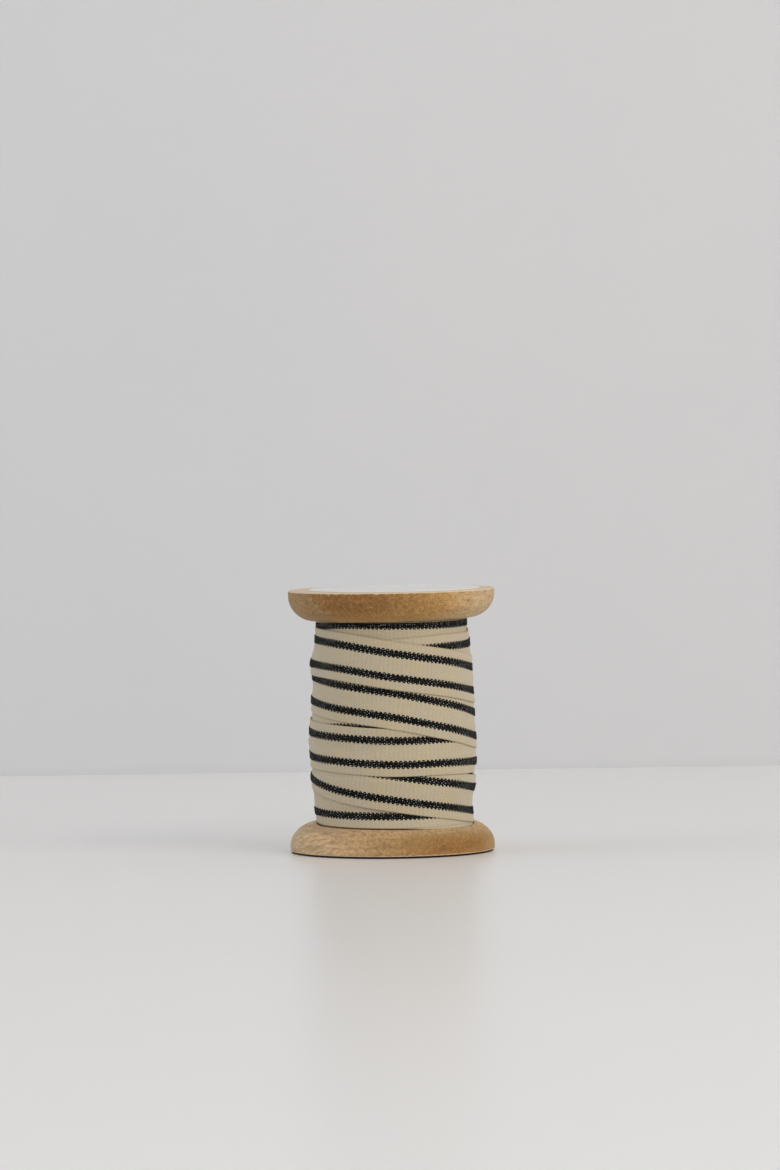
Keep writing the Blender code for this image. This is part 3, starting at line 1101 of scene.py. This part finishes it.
def groovePoint(s, m, step, inner, grooveRadius, front):
    # a shoulder point near the roll: its radius, its height and, in the groove, its painted shade mark. It is
    # drawn in so that two of the points stand at the groove's wall.
    wall = inner[len(inner) // 2]
    if step < wall:
        r = m["sinkFrom"] + (grooveRadius - m["sinkFrom"]) * (step - inner[0] + 1) / (wall - inner[0])
    elif step == wall:
        r = grooveRadius - m["grooveSlope"]
    else:
        r = (grooveRadius - m["grooveSlope"]) * (inner[-1] + 1 - step) / (inner[-1] + 1 - wall)
    z = shoulder(s, r) - s["sink"] * front * float(softStep(m["sinkFrom"], m["sinkFull"], r))
    if step < wall:
        return r, z, None
    return r, z - m["grooveDepth"] * front, m["groovePaintedShade"] if front > m["groovePaintedShadeFrom"] else None


def makeDisc(name, node, s, m, material, foot=None):
    # foot: the radius of the roll's foot at each angle, for the disc that the roll stands on
    profile = np.array(discProfile(s, m))
    inner = [i for i, (r, z) in enumerate(profile[1:-1]) if z > s["straight"] and r < m["sinkFrom"]]
    columns, join = m["columns"], m["wobbleJoin"]
    rng = np.random.default_rng(len(name))
    wobble = softNoise((columns + 1, 2), (m["wobbleWaves"], 1), rng)[:columns, 0]
    wobble[-join:] = wobble[-join:] * np.linspace(1, 0, join) + wobble[0] * np.linspace(0, 1, join)
    flip = -1 if s["upsideDown"] else 1
    tilt = math.radians(s["tilt"])
    rise = s["thickness"] - s["straight"]
    verts = []
    edge = []
    for c in range(columns):
        turn = 2 * math.pi * c / columns
        fromFront = abs((math.degrees(turn) + 180) % 360 - 180)
        front = float(softStep(*m["sinkAngles"], fromFront))
        grooveRadius = 0
        if foot is not None:
            offCentre = (ribbonSet["rollX"] - s["x"]) * math.sin(turn)
            footHere = foot[round(len(foot) * (0.5 + c / columns)) % len(foot)]
            grooveRadius = footHere + offCentre + m["grooveFrom"]
        for i, (r, z) in enumerate(profile[1:-1]):
            edgeUp = z - s["gapHeight"]
            mark = max(0.0, 1 - edgeUp / m["edgeReach"])
            # painted shade: the hollow under the rim is marked for a dark colour
            if s["gapHeight"] and edgeUp < 0.01 and r < s["radius"] - s["edgeRound"] - 0.5 * m["gapInset"]:
                mark = m["hollow"]
            # near the roll's foot the shoulder drops into the groove, whose mark paints shade there
            if foot is not None and i in inner:
                r, z, tone = groovePoint(s, m, i, inner, grooveRadius, front)
                mark = mark if tone is None else tone
            radius = r + m["wobble"] * wobble[c] * float(softStep(m["wobbleFrom"], 1.0, r / s["radius"]))
            x = radius * math.sin(turn)
            if z > s["straight"]:
                z = s["straight"] + (z - s["straight"]) * (1 - s["wedge"] * x * s["thickness"] / rise)
            verts.append((x, -radius * math.cos(turn), flip * z))
            edge.append(mark)
    ring = len(profile) - 2
    faces = []
    for c in range(columns):
        a, b = c * ring, ((c + 1) % columns) * ring
        for i in range(ring - 1):
            faces.append((a + i, b + i, b + i + 1, a + i + 1))
    for z in (profile[0][1], profile[-1][1]):
        verts.append((0.0, 0.0, flip * z))
        edge.append(0.0)
    for c in range(columns):
        a, b = c * ring, ((c + 1) % columns) * ring
        faces.append((len(verts) - 2, b, a))
        faces.append((len(verts) - 1, a + ring - 1, b + ring - 1))
    verts = np.array(verts)
    x = verts[:, 0] * math.cos(tilt) + verts[:, 2] * math.sin(tilt) + s["x"]
    z = -verts[:, 0] * math.sin(tilt) + verts[:, 2] * math.cos(tilt) + s["outerFace"]
    verts = np.stack([x, verts[:, 1], z], axis=-1) * mm
    mesh = bpy.data.meshes.new(name)
    mesh.from_pydata(verts.tolist(), [], faces)
    # the edge marks: the paler edge of the outer face, and painted shade in the hollow and the groove
    marksWithPaintedLight = mesh.attributes.new("edge", "FLOAT", "POINT")
    marksWithPaintedLight.data.foreach_set("value", np.array(edge, dtype=np.float32))
    form = bmesh.new()
    form.from_mesh(mesh)
    bmesh.ops.recalc_face_normals(form, faces=form.faces)
    form.to_mesh(mesh)
    form.free()
    mesh.shade_smooth()
    mesh.set_sharp_from_angle(angle=math.radians(m["sharpFrom"]))
    piece = newPiece(name, mesh, material)
    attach(piece, "root")
    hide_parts(node)


# The round paper on the top disc

paperSet = {
    "radius": 22.9,
    "thickness": 0.2,
    "shift": 0.9,
    "lowEdge": 0.04,
    "edge": 0.05,
    "flat": 0.6,
    "columns": 180,
    "sharpFrom": 40,
    "shades": ("#dcdcda", "#e8e8e6"),
    "roughness": 0.8,
    "fibreScale": 900.0,
    "relief": 0.2,
    "reliefHeight": 0.03 * mm,
}


def paperMaterial(s):
    # uncoated white paper: matt, with a faint mottle of pressed fibres
    material, tree, shader = newMaterial("uncoatedPaper", Roughness=s["roughness"])
    spot = addNode(tree, "ShaderNodeTexCoord")
    fibres = addNode(
        tree, "ShaderNodeTexNoise",
        {"Vector": spot.outputs["Object"], "Scale": s["fibreScale"], "Detail": 4.0},
    )
    low, high = s["shades"]
    tint = addNode(
        tree, "ShaderNodeMix",
        {0: fibres.outputs["Fac"], 6: linearColour(low), 7: linearColour(high)}, data_type="RGBA",
    )
    tree.links.new(tint.outputs[2], shader.inputs["Base Color"])
    bump = addNode(
        tree, "ShaderNodeBump",
        {"Height": fibres.outputs["Fac"], "Strength": s["relief"], "Distance": s["reliefHeight"]},
    )
    tree.links.new(bump.outputs["Normal"], shader.inputs["Normal"])
    return material


def makePaper(s, disc):
    thick, radius, low, edge = s["thickness"], s["radius"], s["lowEdge"], s["edge"]
    profile = [
        (0.0, 0.0), (radius - low, 0.0), (radius, low), (radius, thick - edge), (radius - edge, thick),
        (s["flat"] * radius, thick), (0.0, thick),
    ]
    columns = s["columns"]
    tilt = Matrix.Rotation(math.radians(disc["tilt"]), 4, "Y")
    onDisc = Matrix.Translation((disc["x"] * mm, 0, disc["outerFace"] * mm)) @ tilt
    form = bmesh.new()
    rings = []
    for r, z in profile:
        ring = []
        for c in range(columns if r else 1):
            turn = 2 * math.pi * c / columns
            point = Vector(((s["shift"] + r * math.sin(turn)) * mm, -r * math.cos(turn) * mm, z * mm))
            ring.append(form.verts.new(onDisc @ point))
        rings.append(ring)
    for lower, upper in zip(rings[:-1], rings[1:]):
        for c in range(columns):
            d = (c + 1) % columns
            if len(lower) == 1:
                form.faces.new((lower[0], upper[d], upper[c]))
            elif len(upper) == 1:
                form.faces.new((lower[c], lower[d], upper[0]))
            else:
                form.faces.new((lower[c], lower[d], upper[d], upper[c]))
    bmesh.ops.recalc_face_normals(form, faces=form.faces)
    mesh = bpy.data.meshes.new("roundPaper")
    form.to_mesh(mesh)
    form.free()
    mesh.shade_smooth()
    mesh.set_sharp_from_angle(angle=math.radians(s["sharpFrom"]))
    piece = newPiece("roundPaper", mesh, paperMaterial(s))
    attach(piece, "root")
    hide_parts("top_label")


rollFoot = makeRibbon(ribbonSet)
topWood = turnedWood("waxedBeechTop", woodSet["top"], grainSet)
bottomWood = turnedWood("waxedBeechBottom", woodSet["bottom"], grainSet)
makeDisc("topDisc", "top_flange", topDiscSet, discMeshSet, topWood)
makeDisc("bottomDisc", "bottom_flange", bottomDiscSet, discMeshSet, bottomWood, rollFoot)
print("discs made")
makePaper(paperSet, topDiscSet)
print("paper made")
